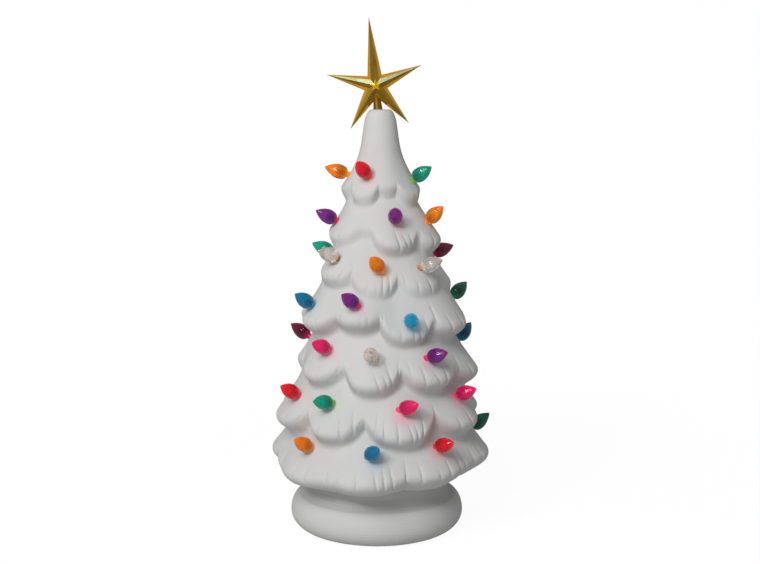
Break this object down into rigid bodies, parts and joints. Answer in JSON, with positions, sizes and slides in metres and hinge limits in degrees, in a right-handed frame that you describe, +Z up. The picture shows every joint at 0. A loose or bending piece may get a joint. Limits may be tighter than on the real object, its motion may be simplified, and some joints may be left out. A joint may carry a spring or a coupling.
{
  "type": "ceramic christmas tree",
  "caption": "White ceramic table tree with coloured push-in bulbs and a gold star, lifting off a hollow base that holds a lamp and socket.",
  "frame": {"origin": "centre of the base's foot, in the plane of the table", "axes": "+Z up through the star's peg, -Y toward the viewer of the picture, +X to the viewer's right"},
  "size_m": [0.1674, 0.171, 0.3832],
  "materials": {
    "ceramic": "unglazed matte white",
    "star_gold": "bright metallised gold",
    "black_plastic": "matte",
    "brass": "satin",
    "spring_steel": "satin",
    "lamp_glass": "clear",
    "lamp_lead": "dull",
    "black_glass": "gloss",
    "bulb_amber": "translucent gloss",
    "bulb_red": "translucent gloss",
    "bulb_green": "translucent gloss",
    "bulb_dark_green": "translucent gloss",
    "bulb_purple": "translucent gloss",
    "bulb_clear": "translucent gloss",
    "bulb_cyan": "translucent gloss",
    "bulb_blue": "translucent gloss",
    "bulb_magenta": "translucent gloss",
    "bulb_teal": "translucent gloss",
    "bulb_orange": "translucent gloss",
    "bulb_maroon": "translucent gloss"
  },
  "bodies": {
    "base": {"base_stand": "ceramic", "socket_body": "black_plastic", "socket_sleeve": "brass", "socket_contact": "brass", "socket_clips": "spring_steel"},
    "lamp": {"lamp_glass": "lamp_glass", "lamp_cap": "brass", "lamp_insulator": "black_glass", "lamp_contact": "lamp_lead", "lamp_stem": "lamp_glass", "lamp_filament": "spring_steel"},
    "tree": {"tree_shell": "ceramic", "bulb_1a": "bulb_green", "bulb_1b": "bulb_amber", "bulb_1c": "bulb_blue", "bulb_1d": "bulb_red", "bulb_1e": "bulb_dark_green", "bulb_1f": "bulb_magenta", "bulb_1g": "bulb_purple", "bulb_2a": "bulb_red", "bulb_2b": "bulb_green", "bulb_2c": "bulb_magenta", "bulb_2d": "bulb_magenta", "bulb_2e": "bulb_amber", "bulb_2f": "bulb_cyan", "bulb_2g": "bulb_clear", "bulb_3a": "bulb_maroon", "bulb_3b": "bulb_magenta", "bulb_3c": "bulb_clear", "bulb_3d": "bulb_purple", "bulb_3e": "bulb_teal", "bulb_3f": "bulb_green", "bulb_3g": "bulb_amber", "bulb_4a": "bulb_blue", "bulb_4b": "bulb_purple", "bulb_4c": "bulb_cyan", "bulb_4d": "bulb_dark_green", "bulb_4e": "bulb_red", "bulb_4f": "bulb_clear", "bulb_4g": "bulb_magenta", "bulb_5a": "bulb_green", "bulb_5b": "bulb_clear", "bulb_5c": "bulb_orange", "bulb_5d": "bulb_clear", "bulb_5e": "bulb_maroon", "bulb_5f": "bulb_blue", "bulb_5g": "bulb_purple", "bulb_6a": "bulb_purple", "bulb_6b": "bulb_purple", "bulb_6c": "bulb_orange", "bulb_6d": "bulb_cyan", "bulb_6e": "bulb_red", "bulb_6f": "bulb_green", "bulb_7a": "bulb_amber", "bulb_7b": "bulb_red", "bulb_7c": "bulb_green", "bulb_7d": "bulb_magenta", "bulb_7e": "bulb_green", "bulb_7f": "bulb_blue"},
    "star": {"star_topper": "star_gold"}
  },
  "joints": [
    {"name": "tree_lift", "type": "slide", "parent": "base", "child": "tree", "axis": [0, 0, 1], "range_m": [0, 0.06]},
    {"name": "star_lift", "type": "slide", "parent": "tree", "child": "star", "axis": [0, 0, 1], "range_m": [0, 0.02]},
    {"name": "lamp_out", "type": "slide", "parent": "base", "child": "lamp", "axis": [0, 0, 1], "range_m": [0, 0.03]}
  ]
}
